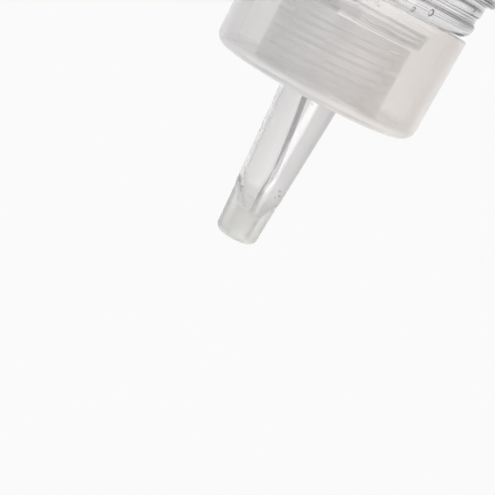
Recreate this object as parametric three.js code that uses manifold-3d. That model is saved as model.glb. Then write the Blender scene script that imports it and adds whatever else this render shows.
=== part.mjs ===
// A clear squeeze bottle of lubricating gel, with a screw collar that clamps a tapered nozzle.
// Sizes are in millimetres. +Z is up: the bottle stands on its base ring at z = 0, nozzle upwards.

import * as THREE from "three";
import { mergeVertices } from "three/addons/utils/BufferGeometryUtils.js";
import Module from "manifold-3d";

const wasm = await Module();
wasm.setup();

// Fineness of the round forms
const bottleSides = 40;
const nozzleSides = 32;
const gelSides = 24;
const gelFaceSteps = 18;
const cornerSteps = 3;

// Bottle body and base
const shoulderHeight = 112;
const bodyRadius = 22.9;
const bottleWall = 0.9;
const baseCornerRadius = 4;
const baseRecessRadius = 16.5;
const baseRecessHeight = 2.4;
const baseRecessSlope = 3.5;

// Shoulder, seen from the top down: a rounded bead, a groove and a land above the body
const shoulderBeadRadius = 21.4;
const shoulderBeadHeight = 2.9;
const shoulderBeadCorner = 2.3;
const grooveRadius = 20.95;
const grooveWidth = 1.6;
const landRadius = 21.4;
const landWidth = 2.6;
const edgeRadius = 0.5;

// Neck finish
const neckRootRadius = 11;
const neckWall = 1.4;
const neckLength = 19.7;
const neckRingRadius = 14.5;
const neckRingRise = 3.9;
const neckRingHeight = 2.5;
const neckFootRadius = 14.8;
const neckFootFillet = 3.8;
const innerShoulderDrop = 2;

// Screw thread, right-handed and shared by neck and collar
const threadPitch = 3.175;
const threadDepth = 1;
const threadRootWidth = 1.9;
const threadCrestWidth = 0.9;
const threadClearance = 0.25;
const threadBury = 0.4;
const threadFadeTurn = 0.125;
const neckThreadTurns = 1.75;
const neckThreadTopDepth = 2.5;
const collarThreadTurns = 1.75;
const collarThreadLag = 0.5;

// Screw collar
const collarRimRadius = 21.3;
const collarTopRadius = 21;
const collarTopCorner = 2.5;
const collarWall = 1.2;
const collarPlate = 1.2;
const innerSkirtWall = 0.85;
const collarSeatGap = 0.3;

// Nozzle
const nozzleBaseRadius = 6.15;
const nozzleLength = 32.3;
const nozzleRingRise = 22;
const nozzleRingRadius = 4.85;
const nozzleStep = 0.2;
const nozzleStepLength = 1.2;
const nozzleEndRadius = 4.2;
const nozzleEndCorner = 1.5;
const nozzleWall = 1;
const tipBoreRadius = 1.8;
const tipBoreBlend = 3;
const outletRadius = 1.5;
const outletLip = 1.2;
const nozzleHoleClearance = 0.2;
const flangeThickness = 1;
const flangeInset = 0.2;
const plugDepth = 3;
const plugWall = 0.9;
const plugClearance = 0.15;

// Gel and the air that lies beside it
const gelGap = 0.15;
const airFloorRise = 3.2;
const gelFaceSwing = 0.85;
const gelFaceOffset = -0.35;

// Heights that follow from the sizes above
const neckRingTop = shoulderHeight + neckRingRise + neckRingHeight;
const neckTop = shoulderHeight + neckLength;
const plateInside = neckTop + flangeThickness;
const plateOutside = plateInside + collarPlate;
const collarRim = shoulderHeight + collarSeatGap;
const nozzleEnd = plateOutside + nozzleLength;
const plugEnd = neckTop - plugDepth;
const neckBoreRadius = neckRootRadius - neckWall;
const plugBoreRadius = neckBoreRadius - plugClearance - plugWall;
const innerSkirtRadius = neckRootRadius + threadDepth + threadClearance;

// Thread helix, from the lower end of the neck's rib
const neckThreadStart = neckTop - neckThreadTopDepth - neckThreadTurns * threadPitch;

// Turns a three.js geometry into a closed solid for joining and cutting.
function closedSolid(geometry) {
  geometry.deleteAttribute("normal");
  geometry.deleteAttribute("uv");
  const welded = mergeVertices(geometry, 1e-4);
  const corners = welded.index.array;
  const faces = [];
  for (let i = 0; i < corners.length; i += 3) {
    const [a, b, c] = [corners[i], corners[i + 1], corners[i + 2]];
    if (a !== b && b !== c && c !== a) faces.push(a, b, c);
  }
  const vertProperties = welded.attributes.position.array;
  const triVerts = new Uint32Array(faces);
  return new wasm.Manifold(new wasm.Mesh({ numProp: 3, vertProperties, triVerts }));
}

// Turns a closed solid back into a named three.js mesh.
function namedMesh(name, solid, color, opacity) {
  const { vertProperties, triVerts } = solid.getMesh();
  const geometry = new THREE.BufferGeometry();
  geometry.setAttribute("position", new THREE.Float32BufferAttribute(vertProperties, 3));
  geometry.setIndex(new THREE.Uint32BufferAttribute(triVerts, 1));
  const faceted = geometry.toNonIndexed();
  faceted.computeVertexNormals();
  const transparent = opacity < 1;
  const material = new THREE.MeshStandardMaterial({ color, opacity, transparent, roughness: 0.3 });
  const mesh = new THREE.Mesh(faceted, material);
  mesh.name = name;
  return mesh;
}

// Points of an outline of [radius, height, corner radius], with each named corner made an arc.
function roundCorners(outline) {
  const at = (i) => new THREE.Vector2(outline[i][0], outline[i][1]);
  return outline.flatMap(([x, y, cornerRadius = 0], i) => {
    if (cornerRadius === 0) return [new THREE.Vector2(x, y)];
    const corner = at(i);
    const toBefore = at((i + outline.length - 1) % outline.length).sub(corner);
    const toAfter = at((i + 1) % outline.length).sub(corner);
    const halfAngle = Math.abs(toBefore.angleTo(toAfter)) / 2;
    const reach = cornerRadius / Math.tan(halfAngle);
    const start = toBefore.normalize().multiplyScalar(reach).add(corner);
    const end = toAfter.normalize().multiplyScalar(reach).add(corner);
    const inward = start.clone().add(end).multiplyScalar(0.5).sub(corner).normalize();
    const centre = inward.multiplyScalar(cornerRadius / Math.sin(halfAngle)).add(corner);
    const fromAngle = start.clone().sub(centre).angle();
    let sweep = end.clone().sub(centre).angle() - fromAngle;
    if (sweep > Math.PI) sweep -= 2 * Math.PI;
    if (sweep < -Math.PI) sweep += 2 * Math.PI;
    return Array.from({ length: cornerSteps + 1 }, (_, step) => {
      const angle = fromAngle + (sweep * step) / cornerSteps;
      const spoke = new THREE.Vector2(Math.cos(angle), Math.sin(angle));
      return spoke.multiplyScalar(cornerRadius).add(centre);
    });
  });
}

// A solid of revolution about Z from an outline that runs up its outside.
function revolve(outline, sides) {
  const turned = new THREE.LatheGeometry(roundCorners(outline), sides);
  turned.rotateX(Math.PI / 2);
  return closedSolid(turned);
}

// The same for a ring, whose outline ends where it starts.
function revolveRing(outline, sides) {
  const points = roundCorners(outline);
  const turned = new THREE.LatheGeometry([...points, points[0].clone()], sides);
  turned.rotateX(Math.PI / 2);
  return closedSolid(turned);
}

// One radial section of a thread rib: its foot is buried in the wall and its crest stands out.
function ribSection(rootRadius, side, height, share) {
  const flank = (threadRootWidth - threadCrestWidth) / 2 / threadDepth;
  const crestReach = threadDepth * share - threadBury * (1 - share);
  const foot = { radius: rootRadius - side * threadBury };
  foot.half = threadRootWidth / 2 + flank * threadBury;
  const crest = { radius: rootRadius + side * crestReach };
  crest.half = threadRootWidth / 2 - flank * crestReach;
  crest.radius += side * (1 - share) * threadBury * 0.5;
  const [inner, outer] = side > 0 ? [foot, crest] : [crest, foot];
  return [
    [inner.radius, height - inner.half],
    [outer.radius, height - outer.half],
    [outer.radius, height + outer.half],
    [inner.radius, height + inner.half],
  ];
}

// A helical thread rib that sinks into its wall at both ends: side is 1 outwards, -1 inwards.
function threadRib(rootRadius, side, startHeight, startTurn, turns) {
  const steps = Math.round(turns * bottleSides);
  const fadeSteps = threadFadeTurn * bottleSides;
  const positions = [];
  for (let step = 0; step <= steps; step++) {
    const turn = startTurn + step / bottleSides;
    const height = startHeight + (step / bottleSides) * threadPitch;
    const share = Math.min(1, step / fadeSteps, (steps - step) / fadeSteps);
    const angle = 2 * Math.PI * turn;
    for (const [radius, z] of ribSection(rootRadius, side, height, share)) {
      positions.push(radius * Math.cos(angle), radius * Math.sin(angle), z);
    }
  }
  const faces = [0, 1, 2, 0, 2, 3];
  for (let step = 0; step < steps; step++) {
    for (let corner = 0; corner < 4; corner++) {
      const [a, b] = [4 * step + corner, 4 * step + ((corner + 1) % 4)];
      faces.push(a, a + 4, b + 4, a, b + 4, b);
    }
  }
  const last = 4 * steps;
  faces.push(last, last + 2, last + 1, last, last + 3, last + 2);
  const rib = new THREE.BufferGeometry();
  rib.setAttribute("position", new THREE.Float32BufferAttribute(positions, 3));
  rib.setIndex(faces);
  return closedSolid(rib);
}

// The bottle's hollow up to a given height, drawn in from its walls by a gap.
function bottleHollow(top, gap, sides) {
  const bore = neckBoreRadius - gap;
  const foot = neckFootRadius - bottleWall - gap;
  const shoulder = grooveRadius - bottleWall - gap;
  const body = bodyRadius - bottleWall - gap;
  const ceiling = shoulderHeight - bottleWall - gap;
  const footTop = shoulderHeight + neckRingRise - gap;
  const bodyTop = bodyShoulder() - bottleWall - gap;
  const floor = bottleWall + gap;
  return revolve(
    [
      [0, baseRecessHeight + floor],
      [baseRecessRadius - baseRecessSlope, baseRecessHeight + floor, edgeRadius],
      [baseRecessRadius, floor],
      [body, floor, baseCornerRadius - bottleWall],
      [body, bodyTop, edgeRadius],
      [shoulder, bodyTop, edgeRadius],
      [shoulder, ceiling, edgeRadius],
      [foot, ceiling, neckFootFillet - bottleWall],
      [foot, footTop - innerShoulderDrop / 2, edgeRadius],
      [bore, footTop + innerShoulderDrop / 2, edgeRadius],
      [bore, top],
      [0, top],
    ],
    sides,
  );
}

// Height of the step where the full body begins below the shoulder's land.
function bodyShoulder() {
  return shoulderHeight - shoulderBeadHeight - grooveWidth - landWidth;
}

// The blown bottle: recessed base, plain body, ringed shoulder and threaded neck.
function makeBottle() {
  const beadBottom = shoulderHeight - shoulderBeadHeight;
  const grooveBottom = beadBottom - grooveWidth;
  const ringBottom = shoulderHeight + neckRingRise;
  const outside = revolve(
    [
      [0, baseRecessHeight],
      [baseRecessRadius - baseRecessSlope, baseRecessHeight, edgeRadius],
      [baseRecessRadius, 0],
      [bodyRadius, 0, baseCornerRadius],
      [bodyRadius, bodyShoulder(), edgeRadius],
      [landRadius, bodyShoulder()],
      [landRadius, grooveBottom],
      [grooveRadius, grooveBottom],
      [grooveRadius, beadBottom],
      [shoulderBeadRadius, beadBottom, edgeRadius],
      [shoulderBeadRadius, shoulderHeight, shoulderBeadCorner],
      [neckFootRadius, shoulderHeight, neckFootFillet],
      [neckFootRadius, ringBottom],
      [neckRingRadius, ringBottom],
      [neckRingRadius, neckRingTop, edgeRadius],
      [neckRootRadius, neckRingTop],
      [neckRootRadius, neckTop],
      [0, neckTop],
    ],
    bottleSides,
  );
  const thread = threadRib(neckRootRadius, 1, neckThreadStart, 0, neckThreadTurns);
  return outside.add(thread).subtract(bottleHollow(neckTop + bottleWall, 0, bottleSides));
}

// The moulded collar: outer skirt, end plate with the nozzle's hole, and threaded inner skirt.
function makeCollar() {
  const hole = nozzleBaseRadius + nozzleHoleClearance;
  const innerSkirtEnd = neckRingTop + collarSeatGap;
  const innerSkirtOutside = innerSkirtRadius + innerSkirtWall;
  const shell = revolveRing(
    [
      [collarRimRadius, collarRim],
      [collarTopRadius, plateOutside, collarTopCorner],
      [hole, plateOutside],
      [hole, plateInside],
      [innerSkirtRadius, plateInside],
      [innerSkirtRadius, innerSkirtEnd],
      [innerSkirtOutside, innerSkirtEnd],
      [innerSkirtOutside, plateInside],
      [collarTopRadius - collarWall, plateInside, collarTopCorner - collarWall],
      [collarRimRadius - collarWall, collarRim],
    ],
    bottleSides,
  );
  const start = neckThreadStart - (0.5 + collarThreadLag) * threadPitch;
  const thread = threadRib(innerSkirtRadius, -1, start, -collarThreadLag, collarThreadTurns);
  return shell.add(thread);
}

// The nozzle's hollow between two heights, drawn in from its walls by a gap.
function nozzleHollow(bottom, top, gap, sides) {
  const ringHeight = plateOutside + nozzleRingRise;
  const lip = nozzleEnd - outletLip;
  return revolve(
    [
      [0, bottom],
      [plugBoreRadius - gap, bottom],
      [plugBoreRadius - gap, neckTop - gap],
      [nozzleBaseRadius - nozzleWall - gap, neckTop - gap],
      [nozzleBaseRadius - nozzleWall - gap, plateOutside],
      [nozzleRingRadius - nozzleWall - gap, ringHeight],
      [tipBoreRadius - gap, ringHeight + tipBoreBlend],
      [tipBoreRadius - gap, lip],
      [outletRadius - gap, lip],
      [outletRadius - gap, top],
      [0, top],
    ],
    sides,
  );
}

// The moulded nozzle: plug seal, clamped flange, long cone, small step and rounded end.
function makeNozzle() {
  const ringHeight = plateOutside + nozzleRingRise;
  const outside = revolve(
    [
      [0, plugEnd],
      [neckBoreRadius - plugClearance, plugEnd, edgeRadius],
      [neckBoreRadius - plugClearance, neckTop],
      [neckRootRadius - flangeInset, neckTop],
      [neckRootRadius - flangeInset, plateInside],
      [nozzleBaseRadius, plateInside],
      [nozzleBaseRadius, plateOutside],
      [nozzleRingRadius, ringHeight],
      [nozzleRingRadius - nozzleStep, ringHeight + nozzleStepLength],
      [nozzleEndRadius, nozzleEnd, nozzleEndCorner],
      [0, nozzleEnd],
    ],
    nozzleSides,
  );
  const bore = nozzleHollow(plugEnd - plugWall, nozzleEnd + nozzleWall, 0, nozzleSides);
  return outside.subtract(bore);
}

// The space beside the gel that air fills: a slab with one wavy face, from a floor upwards.
function airSpace(floor) {
  const top = nozzleEnd + nozzleWall;
  const face = new THREE.SplineCurve([
    new THREE.Vector2(gelFaceOffset, floor),
    new THREE.Vector2(gelFaceOffset - gelFaceSwing, shoulderHeight + neckLength * 0.4),
    new THREE.Vector2(gelFaceOffset + gelFaceSwing / 2, plugEnd),
    new THREE.Vector2(gelFaceOffset + gelFaceSwing, plateOutside),
    new THREE.Vector2(gelFaceOffset - gelFaceSwing, plateOutside + nozzleRingRise * 0.72),
    new THREE.Vector2(gelFaceOffset - gelFaceSwing / 4, plateOutside + nozzleRingRise),
    new THREE.Vector2(gelFaceOffset - gelFaceSwing, top),
  ]);
  const slab = new THREE.Shape(face.getPoints(gelFaceSteps));
  slab.lineTo(bodyRadius, top);
  slab.lineTo(bodyRadius, floor);
  slab.closePath();
  const cut = new THREE.ExtrudeGeometry(slab, { depth: 2 * bodyRadius, bevelEnabled: false });
  cut.translate(0, 0, -bodyRadius);
  cut.rotateX(Math.PI / 2);
  return closedSolid(cut);
}

// The gel that fills the bottle up to the nozzle's plug.
function makeGelInBottle() {
  const fill = bottleHollow(plugEnd - 2 * gelGap, gelGap, gelSides);
  return fill.subtract(airSpace(shoulderHeight + airFloorRise));
}

// The gel that stays in the nozzle, on one side of it, up to the outlet.
function makeGelInNozzle() {
  const fill = nozzleHollow(plugEnd, nozzleEnd - nozzleEndCorner, gelGap, gelSides);
  return fill.subtract(airSpace(shoulderHeight + airFloorRise));
}

const group = new THREE.Group();
group.name = "lubricant_bottle";
group.add(namedMesh("bottle", makeBottle(), 0xd9dedc, 0.45));
group.add(namedMesh("gel_in_bottle", makeGelInBottle(), 0xd6dad6, 0.5));
group.add(namedMesh("collar", makeCollar(), 0xe6e3df, 1));
group.add(namedMesh("nozzle", makeNozzle(), 0xe4e6e4, 0.6));
group.add(namedMesh("gel_in_nozzle", makeGelInNozzle(), 0xd6dad6, 0.5));

export default group;
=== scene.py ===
import math
import random

import bmesh
import bpy
from mathutils import Matrix, Vector


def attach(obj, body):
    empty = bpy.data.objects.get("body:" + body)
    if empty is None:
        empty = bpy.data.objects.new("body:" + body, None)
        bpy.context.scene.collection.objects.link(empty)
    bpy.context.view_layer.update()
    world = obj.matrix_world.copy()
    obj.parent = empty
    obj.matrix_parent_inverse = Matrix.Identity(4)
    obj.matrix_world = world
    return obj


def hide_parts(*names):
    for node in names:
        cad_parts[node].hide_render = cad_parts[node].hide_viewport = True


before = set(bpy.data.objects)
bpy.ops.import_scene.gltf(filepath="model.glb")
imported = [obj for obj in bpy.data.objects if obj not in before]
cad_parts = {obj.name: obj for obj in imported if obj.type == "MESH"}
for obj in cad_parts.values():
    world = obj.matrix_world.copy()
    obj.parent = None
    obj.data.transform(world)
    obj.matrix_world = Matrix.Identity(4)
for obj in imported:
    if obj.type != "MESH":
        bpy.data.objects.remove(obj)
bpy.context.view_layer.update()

# The room: a seamless white studio that darkens to both sides, which draws the bottle's edges,
# and a floor of pale paper that the bottle stands on. The camera hangs nearly upside down, so
# that the bottle comes into the picture from above with its nozzle down to the left.
MM = 0.001
FLOOR_HALF = 0.6
LENS, SENSOR = 105, 36
CAMERA_PLACE = Vector((-3.32, -276.5, 108.55)) * MM
CAMERA_PITCH = math.radians(11.92)
CAMERA_ROLL = math.radians(208.25)

scene = bpy.context.scene
scene.view_settings.view_transform = "Standard"
scene.cycles.max_bounces = 32
scene.cycles.diffuse_bounces = 12
scene.cycles.glossy_bounces = 12
scene.cycles.transmission_bounces = 32
scene.cycles.transparent_max_bounces = 32


class Look:
    """A node material, with the few kinds of nodes that the looks of the pieces are made of."""

    def __init__(self, name):
        self.material = bpy.data.materials.new(name)
        self.material.use_nodes = True
        self.nodes = self.material.node_tree.nodes
        self.links = self.material.node_tree.links
        self.shader = self.nodes["Principled BSDF"]

    def put(self, node, values):
        """Gives each named input of a node its value, or links it to another node's output."""
        for name, value in values.items():
            if isinstance(value, bpy.types.NodeSocket):
                self.links.new(value, node.inputs[name])
            else:
                node.inputs[name].default_value = value

    def shade(self, values):
        self.put(self.shader, values)

    def noise(self, scale, detail=2.0):
        node = self.nodes.new("ShaderNodeTexNoise")
        self.put(node, {"Scale": scale, "Detail": detail})
        return node.outputs["Fac"]

    def axis(self, letter):
        """The place along one axis of the object, in metres."""
        place = self.nodes.new("ShaderNodeTexCoord")
        parts = self.nodes.new("ShaderNodeSeparateXYZ")
        self.links.new(place.outputs["Object"], parts.inputs["Vector"])
        return parts.outputs[letter]

    def ranged(self, value, low, high, start=0.0, end=1.0):
        """Maps a value that runs from start to end to one that runs from low to high."""
        node = self.nodes.new("ShaderNodeMapRange")
        self.put(node, {
            "Value": value, "From Min": start, "From Max": end, "To Min": low, "To Max": high,
        })
        return node.outputs["Result"]

    def mixed(self, share, first, second):
        node = self.nodes.new("ShaderNodeMix")
        node.data_type = "RGBA"
        self.put(node, {"Factor": share, "A": first, "B": second})
        return node.outputs["Result"]

    def bump(self, height, strength, distance):
        node = self.nodes.new("ShaderNodeBump")
        self.put(node, {"Height": height, "Strength": strength, "Distance": distance})
        return node.outputs["Normal"]


def mesh_object(name, vertices, faces):
    mesh = bpy.data.meshes.new(name)
    mesh.from_pydata(vertices, [], faces)
    made = bpy.data.objects.new(name, mesh)
    scene.collection.objects.link(made)
    return made


world = bpy.data.worlds.new("studio")
scene.world = world
world.use_nodes = True
sky, sky_links = world.node_tree.nodes, world.node_tree.links
sky_place = sky.new("ShaderNodeTexCoord")
sky_axes = sky.new("ShaderNodeSeparateXYZ")
sky_links.new(sky_place.outputs["Generated"], sky_axes.inputs["Vector"])
sky_side = sky.new("ShaderNodeMath")
sky_side.operation = "MULTIPLY_ADD"
sky_side.inputs[1].default_value = 0.5
sky_side.inputs[2].default_value = 0.5
sky_links.new(sky_axes.outputs["X"], sky_side.inputs[0])
sky_ramp = sky.new("ShaderNodeValToRGB")
shades = sky_ramp.color_ramp.elements
shades[0].position, shades[0].color = 0.10, (0.36, 0.35, 0.37, 1)
shades[1].position, shades[1].color = 0.90, (0.66, 0.65, 0.66, 1)
for position in (0.21, 0.79):
    shades.new(position).color = (1.0, 1.0, 1.0, 1)
sky_links.new(sky_side.outputs[0], sky_ramp.inputs["Fac"])
sky_glow = sky["Background"]
sky_glow.inputs["Strength"].default_value = 0.95
sky_links.new(sky_ramp.outputs["Color"], sky_glow.inputs["Color"])
sky_plain = sky.new("ShaderNodeBackground")
sky_plain.inputs["Color"].default_value = (0.955, 0.955, 0.955, 1)
sky_ray = sky.new("ShaderNodeLightPath")
sky_mix = sky.new("ShaderNodeMixShader")
sky_links.new(sky_ray.outputs["Is Camera Ray"], sky_mix.inputs["Fac"])
sky_links.new(sky_glow.outputs[0], sky_mix.inputs[1])
sky_links.new(sky_plain.outputs[0], sky_mix.inputs[2])
sky_links.new(sky_mix.outputs[0], sky["World Output"].inputs["Surface"])

floor = mesh_object("floor", [
    (-FLOOR_HALF, -FLOOR_HALF, 0), (FLOOR_HALF, -FLOOR_HALF, 0),
    (FLOOR_HALF, FLOOR_HALF, 0), (-FLOOR_HALF, FLOOR_HALF, 0),
], [(0, 1, 2, 3)])
paper = Look("floor_paper")
paper.shade({"Base Color": paper.ranged(paper.noise(40), 0.90, 0.92), "Roughness": 0.8})
floor.data.materials.append(paper.material)

softbox = bpy.data.lights.new("front_softbox", "AREA")
softbox.shape = "RECTANGLE"
softbox.size = softbox.size_y = 0.4
softbox.energy = 1.6
lamp = bpy.data.objects.new("front_softbox", softbox)
lamp.location = (-0.35, -0.5, 0.42)
lamp_aim = Vector((0, 0, 0.12)) - lamp.location
lamp.rotation_euler = lamp_aim.to_track_quat("-Z", "Y").to_euler()
scene.collection.objects.link(lamp)

camera_data = bpy.data.cameras.new("camera")
camera_data.lens = LENS
camera_data.sensor_width = SENSOR
camera = bpy.data.objects.new("camera", camera_data)
scene.collection.objects.link(camera)
ahead = Vector((0, math.cos(CAMERA_PITCH), math.sin(CAMERA_PITCH)))
right = Vector((1, 0, 0))
above = right.cross(ahead)
rolled_right = right * math.cos(CAMERA_ROLL) + above * math.sin(CAMERA_ROLL)
rolled_up = above * math.cos(CAMERA_ROLL) - right * math.sin(CAMERA_ROLL)
turn = Matrix((rolled_right, rolled_up, -ahead)).transposed()
camera.matrix_world = Matrix.Translation(CAMERA_PLACE) @ turn.to_4x4()
scene.camera = camera

# The bottle: one piece of clear blown plastic, with the threaded neck moulded first and the
# thin body blown below it. Its base is pushed in, so that it stands on a ring.
SHOULDER = 112.0
BEAD_HEIGHT, GROOVE_WIDTH, LAND_WIDTH = 2.9, 1.6, 2.6
GROOVE_TOP = SHOULDER - BEAD_HEIGHT
GROOVE_BOTTOM = GROOVE_TOP - GROOVE_WIDTH
BODY_TOP = GROOVE_BOTTOM - LAND_WIDTH
NECK_TOP = SHOULDER + 19.7
RING_BOTTOM, RING_TOP = SHOULDER + 3.9, SHOULDER + 6.4
BODY_RADIUS, LAND_RADIUS, GROOVE_RADIUS = 22.9, 21.4, 20.95
RECESS_RADIUS, STAND_RADIUS, RECESS_RISE = 13, 16.5, 2.4
NECK_FOOT_RADIUS, NECK_RING_RADIUS, NECK_ROOT_RADIUS, NECK_BORE_RADIUS = 14.8, 14.5, 11, 9.6
WALL = 0.9
BODY_INSIDE, GROOVE_INSIDE = BODY_RADIUS - WALL, GROOVE_RADIUS - WALL
NECK_FOOT_INSIDE, NECK_RING_INSIDE = 13.9, 13.7
RING_INSIDE_BOTTOM, RING_INSIDE_TOP = SHOULDER + 4.1, SHOULDER + 6.1
PITCH = 3.175
THREAD_START = NECK_TOP - 2.5 - 2.75 * PITCH
SIDES, NOZZLE_SIDES, NOZZLE_GEL_SIDES, THREAD_STEPS = 192, 256, 128, 96
CORNER_STEPS = 8
SHARP_ANGLE = math.radians(30)


def rounded(outline):
    """Points of an outline of (radius, height, corner radius), in millimetres."""
    points = []
    for i, corner in enumerate(outline):
        here = Vector(corner[:2])
        if len(corner) < 3:
            points.append(here)
            continue
        to_before = (Vector(outline[i - 1][:2]) - here).normalized()
        to_after = (Vector(outline[(i + 1) % len(outline)][:2]) - here).normalized()
        half = to_before.angle(to_after) / 2
        reach = corner[2] / math.tan(half)
        start, end = here + to_before * reach, here + to_after * reach
        centre = here + (to_before + to_after).normalized() * (corner[2] / math.sin(half))
        first, last = start - centre, end - centre
        angle_first, angle_last = math.atan2(first.y, first.x), math.atan2(last.y, last.x)
        sweep = (angle_last - angle_first + math.pi) % (2 * math.pi) - math.pi
        for step in range(CORNER_STEPS + 1):
            angle = angle_first + sweep * step / CORNER_STEPS
            points.append(centre + Vector((math.cos(angle), math.sin(angle))) * corner[2])
    return points


def braced(points, closed):
    """Adds a point near both ends of each long straight run, which keeps its shading even."""
    brace, long_run = 0.3, 2.0
    more = []
    for here, after in zip(points, points[1:] + points[:1] if closed else points[1:]):
        more.append(here)
        run = after - here
        if run.length > long_run:
            step = run.normalized() * brace
            more += [here + step, after - step]
    return more if closed else more + points[-1:]


def turned(outline, closed, sides=SIDES):
    """Vertices in metres and faces of an outline turned about the upright axis."""
    rings, vertices, faces = [], [], []
    for point in braced(rounded(outline), closed):
        if point.x < 1e-6:
            rings.append([len(vertices)] * sides)
            vertices.append((0, 0, point.y * MM))
            continue
        rings.append(range(len(vertices), len(vertices) + sides))
        for side in range(sides):
            angle = 2 * math.pi * side / sides
            vertices.append(
                (point.x * math.cos(angle) * MM, point.x * math.sin(angle) * MM, point.y * MM)
            )
    pairs = list(zip(rings, rings[1:]))
    if closed:
        pairs.append((rings[-1], rings[0]))
    for low, high in pairs:
        for side in range(sides):
            after = (side + 1) % sides
            corners = list(dict.fromkeys((low[side], low[after], high[after], high[side])))
            if len(corners) > 2:
                faces.append(corners)
    return vertices, faces


def thread_rib(name, root, side, start_turn, turns):
    """A helical rib that sinks into its wall at both ends: side is 1 outwards, -1 inwards."""
    depth, root_half, crest_half = 1.0, 0.95, 0.45
    bury, end_bury, fade = 0.3, 0.15, 0.125
    steps = round(turns * THREAD_STEPS)
    flank = (root_half - crest_half) / depth
    vertices, faces = [], []
    for step in range(steps + 1):
        turn_now = step / THREAD_STEPS
        share = max(0.0, min(1.0, turn_now / fade, (turns - turn_now) / fade))
        reach = depth * share - end_bury * (1 - share)
        height = THREAD_START + turn_now * PITCH
        angle = 2 * math.pi * (start_turn + turn_now)
        buried_half, top_half = root_half + flank * bury, root_half - flank * reach
        for out, rise in (
            (-bury, -buried_half), (reach, -top_half), (reach, top_half), (-bury, buried_half),
        ):
            radius = root + side * out
            place = (radius * math.cos(angle), radius * math.sin(angle), height + rise)
            vertices.append(tuple(value * MM for value in place))
    faces += [(0, 1, 2, 3), tuple(4 * steps + corner for corner in (3, 2, 1, 0))]
    for step in range(steps):
        for corner in range(4):
            a, b = 4 * step + corner, 4 * step + (corner + 1) % 4
            faces.append((a, a + 4, b + 4, b))
    if side < 0:
        faces = [tuple(reversed(face)) for face in faces]
    return mesh_object(name, vertices, faces)


def smoothed(mesh):
    mesh.shade_smooth()
    mesh.set_sharp_from_angle(angle=SHARP_ANGLE)


def piece(name, solid, look, body, node):
    """An object of one closed solid that rides on a body and stands for its CAD node."""
    made = mesh_object(name, *solid)
    made.data.validate()
    made.data.materials.append(look.material)
    smoothed(made.data)
    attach(made, body)
    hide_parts(node)
    return made


def combined(base, tool, operation):
    """Unites the tool object with the base object or cuts it out, and then removes the tool."""
    join = base.modifiers.new("join", "BOOLEAN")
    join.operation = operation
    join.solver = "EXACT"
    join.object = tool
    result = bpy.data.meshes.new_from_object(
        base.evaluated_get(bpy.context.evaluated_depsgraph_get())
    )
    base.modifiers.clear()
    old = base.data
    base.data = result
    bpy.data.meshes.remove(old)
    bpy.data.objects.remove(tool)
    smoothed(base.data)


clear = Look("bottle_plastic")
ripple = clear.noise(90)
clear.shade({
    "Transmission Weight": 1.0,
    "IOR": 1.5,
    "Base Color": clear.mixed(ripple, (0.978, 0.976, 0.98, 1), (0.99, 0.988, 0.99, 1)),
    "Roughness": clear.ranged(ripple, 0.06, 0.10),
    "Normal": clear.bump(ripple, 0.004, 0.0003),
})

bottle_outline = [
    (0, RECESS_RISE), (RECESS_RADIUS, RECESS_RISE, 0.5), (STAND_RADIUS, 0, 0.3), (BODY_RADIUS, 0, 4),
    (BODY_RADIUS, BODY_TOP, 0.5), (LAND_RADIUS, BODY_TOP, 0.5), (LAND_RADIUS, GROOVE_BOTTOM, 0.4),
    (GROOVE_RADIUS, GROOVE_BOTTOM, 0.35), (GROOVE_RADIUS, GROOVE_TOP, 0.35),
    (LAND_RADIUS, GROOVE_TOP, 0.4), (LAND_RADIUS, SHOULDER, 2.3), (NECK_FOOT_RADIUS, SHOULDER, 3.8),
    (NECK_FOOT_RADIUS, RING_BOTTOM), (NECK_RING_RADIUS, RING_BOTTOM), (NECK_RING_RADIUS, RING_TOP, 1.3),
    (NECK_ROOT_RADIUS, RING_TOP, 0.3), (NECK_ROOT_RADIUS, NECK_TOP, 0.15),
    (NECK_BORE_RADIUS, NECK_TOP, 0.15), (NECK_BORE_RADIUS, RING_INSIDE_TOP, 0.6),
    (NECK_RING_INSIDE, RING_INSIDE_BOTTOM, 0.8), (NECK_FOOT_INSIDE, SHOULDER - WALL, 2.9),
    (GROOVE_INSIDE, SHOULDER - WALL, 0.5), (GROOVE_INSIDE, BODY_TOP - WALL, 0.5),
    (BODY_INSIDE, BODY_TOP - WALL, 0.5), (BODY_INSIDE, WALL, 3.1), (STAND_RADIUS, WALL, 0.3),
    (RECESS_RADIUS, RECESS_RISE + WALL, 0.5), (0, RECESS_RISE + WALL),
]
bottle = piece(
    "clear_bottle", turned(bottle_outline, False), clear, "bottle", "bottle"
)
combined(bottle, thread_rib("neck_rib", NECK_ROOT_RADIUS, 1, 0, 3.0), "UNION")

# The gel in the bottle: thick, clear and colourless, with a few small air bubbles in it. It
# reaches a little into the wall, as a fluid wets it, and has air beside it in the neck.
WET = 0.08
PLUG_END = NECK_TOP - 3.0
PLATE_INSIDE = NECK_TOP + 1.0
PLATE_OUTSIDE = PLATE_INSIDE + 1.2
AIR_FLOOR = SHOULDER + 3.2


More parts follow.
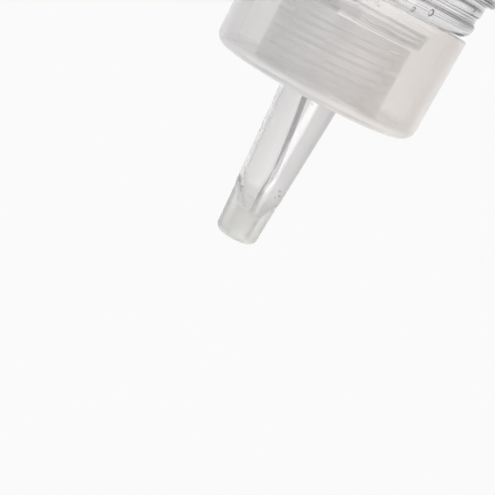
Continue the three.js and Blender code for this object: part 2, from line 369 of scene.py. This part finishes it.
def air_side(name):
    """A solid that stands for the air beside the gel: its long hollow face is the gel's edge."""
    face = [
        (-0.35, AIR_FLOOR, 4.0), (-1.2, SHOULDER + 7.88, 4.0), (0.0, PLUG_END, 3.2),
        (0.1, PLATE_OUTSIDE, 1.4), (-1.3, PLATE_OUTSIDE + 15.84, 1.4),
        (-0.9, PLATE_OUTSIDE + 22.0, 1.1), (-1.3, PLATE_OUTSIDE + 33.3, 0.8),
    ]
    nose_steps, far, wide, slope, row_steps = 12, 23.0, 16.0, 0.15, 10
    rows = []
    for i in range(len(face) - 1):
        p0, p1 = Vector(face[max(i - 1, 0)]), Vector(face[i])
        p2, p3 = Vector(face[i + 1]), Vector(face[min(i + 2, len(face) - 1)])
        for step in range(row_steps):
            t = step / row_steps
            rows.append(0.5 * (
                2 * p1 + (p2 - p0) * t + (2 * p0 - 5 * p1 + 4 * p2 - p3) * t * t
                + (3 * p1 - p0 - 3 * p2 + p3) * t ** 3
            ))
    rows.append(Vector(face[-1]))
    vertices = []
    for edge, height, radius in rows:
        side = edge + radius / 2 + slope * (wide - radius)
        section = [(far, -wide), (side, -wide)]
        for step in range(-nose_steps, nose_steps + 1):
            reach = radius * step / nose_steps
            section.append((edge + reach ** 2 / (2 * radius), reach))
        section += [(side, wide), (far, wide)]
        vertices += [(x * MM, y * MM, height * MM) for x, y in section]
    across = len(vertices) // len(rows)
    faces = []
    for row in range(len(rows) - 1):
        for i in range(across):
            a, b = row * across + i, row * across + (i + 1) % across
            faces.append((a, a + across, b + across, b))
    faces.append(tuple(range(across)))
    faces.append(tuple(reversed(range(len(vertices) - across, len(vertices)))))
    return mesh_object(name, vertices, faces)


def add_balls(base, places, hollow):
    """Adds balls of (x, y, height, radius) in millimetres: hollow ones are bubbles, others drops."""
    mesh = bmesh.new()
    mesh.from_mesh(base.data)
    for x, y, height, radius in places:
        centre = Matrix.Translation(Vector((x, y, height)) * MM)
        ball = bmesh.ops.create_uvsphere(
            mesh, u_segments=12, v_segments=8, radius=radius * MM, matrix=centre
        )
        skin = list({face for corner in ball["verts"] for face in corner.link_faces})
        for face in skin:
            face.smooth = True
        if hollow:
            bmesh.ops.reverse_faces(mesh, faces=skin)
    mesh.to_mesh(base.data)
    mesh.free()


gel_clear = Look("gel_clear")
gel_clear.shade({
    "Transmission Weight": 1.0,
    "IOR": 1.4,
    "Roughness": 0.0,
    "Base Color": gel_clear.mixed(
        gel_clear.noise(60), (0.957, 0.955, 0.955, 1), (0.973, 0.971, 0.97, 1)
    ),
})

gel_outline = [
    (0, RECESS_RISE + WALL - WET), (RECESS_RADIUS, RECESS_RISE + WALL - WET, 0.5),
    (STAND_RADIUS, WALL - WET, 0.3), (BODY_INSIDE + WET, WALL - WET, 3.1),
    (BODY_INSIDE + WET, BODY_TOP - WALL + WET, 0.5), (GROOVE_INSIDE + WET, BODY_TOP - WALL + WET, 0.5),
    (GROOVE_INSIDE + WET, SHOULDER - WALL + WET, 0.5), (NECK_FOOT_INSIDE + WET, SHOULDER - WALL + WET, 2.9),
    (NECK_RING_INSIDE + WET, RING_INSIDE_BOTTOM + WET, 0.8),
    (NECK_BORE_RADIUS + WET, RING_INSIDE_TOP + WET, 0.6), (NECK_BORE_RADIUS + WET, PLUG_END - 0.3),
    (0, PLUG_END - 0.3),
]
gel = piece("gel_body", turned(gel_outline, False), gel_clear, "bottle", "gel_in_bottle")
combined(gel, air_side("neck_air"), "DIFFERENCE")

chance = random.Random(12)
body_bubbles = [
    (-2.7, -14.2, SHOULDER + 1.2, 0.26), (-3.4, -14.1, SHOULDER + 1.5, 0.28),
    (-3.0, -14.5, SHOULDER + 0.8, 0.22), (-8.8, -15.5, SHOULDER - 1.4, 0.34),
    (-11.7, -14.3, SHOULDER - 1.9, 0.45), (-18.0, -7.0, SHOULDER - 5.5, 0.32),
]
for number in range(44):
    angle, out = chance.uniform(0, 2 * math.pi), 20 * math.sqrt(chance.uniform(0.05, 1))
    height, radius = chance.uniform(8, SHOULDER - 9), chance.uniform(0.15, 0.5)
    body_bubbles.append((out * math.cos(angle), out * math.sin(angle), height, radius))
add_balls(gel, body_bubbles, True)

# The collar: one piece of natural milky moulded plastic. Its outer skirt is smooth, and the
# threaded inner skirt that screws on the neck shows through it as a darker block.
RIM = SHOULDER + 0.3
SKIRT_END = SHOULDER + 6.7
INNER_SKIRT_RADIUS, INNER_SKIRT_OUTSIDE, HOLE_RADIUS = 12.25, 13.1, 6.35

milky = Look("milky_plastic")
haze = milky.noise(120, 3)
milky.shade({
    "IOR": 1.3,
    # The base colour turns warmer towards the collar's -X side, the right of the picture. This is a painted
    # warm reflection of the room, laid over the plastic's own hazy tone.
    "Base Color": milky.mixed(
        milky.ranged(milky.axis("X"), 0, 1, 4 * MM, -19 * MM),
        milky.mixed(haze, (0.98, 0.968, 0.965, 1), (0.99, 0.98, 0.978, 1)),
        (0.99, 0.958, 0.925, 1),
    ),
    "Transmission Weight": milky.ranged(
        milky.axis("Z"), 0.75, 0.45, (PLATE_INSIDE - 1.2) * MM, PLATE_OUTSIDE * MM
    ),
    "Roughness": milky.ranged(haze, 0.07, 0.11),
})

collar_outline = [
    (21.3, RIM, 0.25), (21.0, PLATE_OUTSIDE, 2.5), (HOLE_RADIUS, PLATE_OUTSIDE, 0.2),
    (HOLE_RADIUS, PLATE_INSIDE, 0.2), (INNER_SKIRT_RADIUS, PLATE_INSIDE, 0.3),
    (INNER_SKIRT_RADIUS, SKIRT_END, 0.2), (INNER_SKIRT_OUTSIDE, SKIRT_END, 0.2),
    (INNER_SKIRT_OUTSIDE, PLATE_INSIDE, 0.4), (19.8, PLATE_INSIDE, 1.3), (20.1, RIM, 0.25),
]
collar = piece(
    "milky_collar", turned(collar_outline, True), milky, "collar", "collar"
)
combined(collar, thread_rib("collar_rib", INNER_SKIRT_RADIUS, -1, 0.5, 2.5), "UNION")

# The nozzle: one piece of soft, almost clear moulded plastic, clamped by its flange between
# the collar's plate and the neck. Its cone ends in a small step and a thicker, hazier tip.
RING = PLATE_OUTSIDE + 22
END = PLATE_OUTSIDE + 32.3
PLUG_RADIUS, PLUG_INSIDE, FLANGE_RADIUS = 9.45, 8.55, 10.8
NOZZLE_RADIUS, RING_RADIUS, TIP_RADIUS, END_RADIUS = 6.15, 4.85, 4.65, 4.2
BORE_RADIUS, RING_BORE_RADIUS, TIP_BORE_RADIUS, OUTLET_RADIUS = 5.15, 3.9, 1.8, 1.5
BORE_BEND, TIP_BORE_START = RING - 1, RING + 4.5

soft_clear = Look("nozzle_plastic")
tip_share = soft_clear.ranged(
    soft_clear.axis("Z"), 0, 1, (PLATE_OUTSIDE + 21.5) * MM, (PLATE_OUTSIDE + 31) * MM
)
soft_clear.shade({
    "IOR": 1.45,
    "Transmission Weight": soft_clear.ranged(tip_share, 0.92, 0.5),
    "Roughness": soft_clear.ranged(tip_share, 0.09, 0.26),
    "Base Color": soft_clear.mixed(tip_share, (0.955, 0.95, 0.947, 1), (0.84, 0.835, 0.805, 1)),
    "Normal": soft_clear.bump(soft_clear.noise(110, 0), 0.02, 0.0002),
})

nozzle_outline = [
    (PLUG_INSIDE, PLUG_END, 0.15), (PLUG_RADIUS, PLUG_END, 0.4), (PLUG_RADIUS, NECK_TOP, 0.15),
    (FLANGE_RADIUS, NECK_TOP, 0.15), (FLANGE_RADIUS, PLATE_INSIDE, 0.2),
    (NOZZLE_RADIUS, PLATE_INSIDE, 0.1), (NOZZLE_RADIUS, PLATE_OUTSIDE), (RING_RADIUS, RING, 0.6),
    (TIP_RADIUS, RING + 1.2, 0.6), (END_RADIUS, END, 1.5), (OUTLET_RADIUS, END, 0.2),
    (OUTLET_RADIUS, END - 1.2, 0.15), (TIP_BORE_RADIUS, END - 1.2, 0.1),
    (TIP_BORE_RADIUS, TIP_BORE_START, 3.0), (RING_BORE_RADIUS, BORE_BEND, 3.0),
    (BORE_RADIUS, PLATE_OUTSIDE), (BORE_RADIUS, NECK_TOP, 0.3), (PLUG_INSIDE, NECK_TOP, 0.3),
]
nozzle = piece(
    "clear_nozzle", turned(nozzle_outline, True, NOZZLE_SIDES), soft_clear,
    "nozzle", "nozzle",
)

# The gel in the nozzle: the same clear gel, which clings to one side of the bore, so that its
# long wavy edge shows as a dark line down the cone.
GEL_FOOT = NECK_TOP - 0.15
GEL_END = END - 1.5

nozzle_gel_outline = [
    (0, PLUG_END), (8.4, PLUG_END, 0.3), (8.4, GEL_FOOT, 0.3), (BORE_RADIUS + WET, GEL_FOOT, 0.3),
    (BORE_RADIUS + WET, PLATE_OUTSIDE), (RING_BORE_RADIUS + WET, BORE_BEND, 3.0),
    (TIP_BORE_RADIUS + WET, TIP_BORE_START, 3.0), (TIP_BORE_RADIUS + WET, GEL_END), (0, GEL_END),
]
nozzle_gel = piece(
    "gel_strand", turned(nozzle_gel_outline, False, NOZZLE_GEL_SIDES), gel_clear,
    "nozzle", "gel_in_nozzle",
)
combined(nozzle_gel, air_side("nozzle_air"), "DIFFERENCE")
nozzle_bubbles = [
    (-3.1, -1.6, RING - 2.2, 0.24), (-3.3, -0.9, RING - 1.2, 0.3), (-2.9, -1.5, RING - 0.7, 0.22),
    (-1.1, -3.0, PLATE_OUTSIDE + 1.9, 0.24), (-1.2, -1.0, RING + 4.9, 0.24),
    (-1.4, -0.7, RING + 5.6, 0.22),
]
nozzle_drops = [
    (3.5, -1.5, RING - 2.1, 0.28), (3.2, -2.0, RING - 1.3, 0.3), (2.8, -2.4, RING - 1.8, 0.2),
    (3.2, -1.3, RING - 0.4, 0.26), (2.4, -1.6, RING + 1.2, 0.2),
]
add_balls(nozzle_gel, nozzle_bubbles, True)
add_balls(nozzle_gel, nozzle_drops, False)
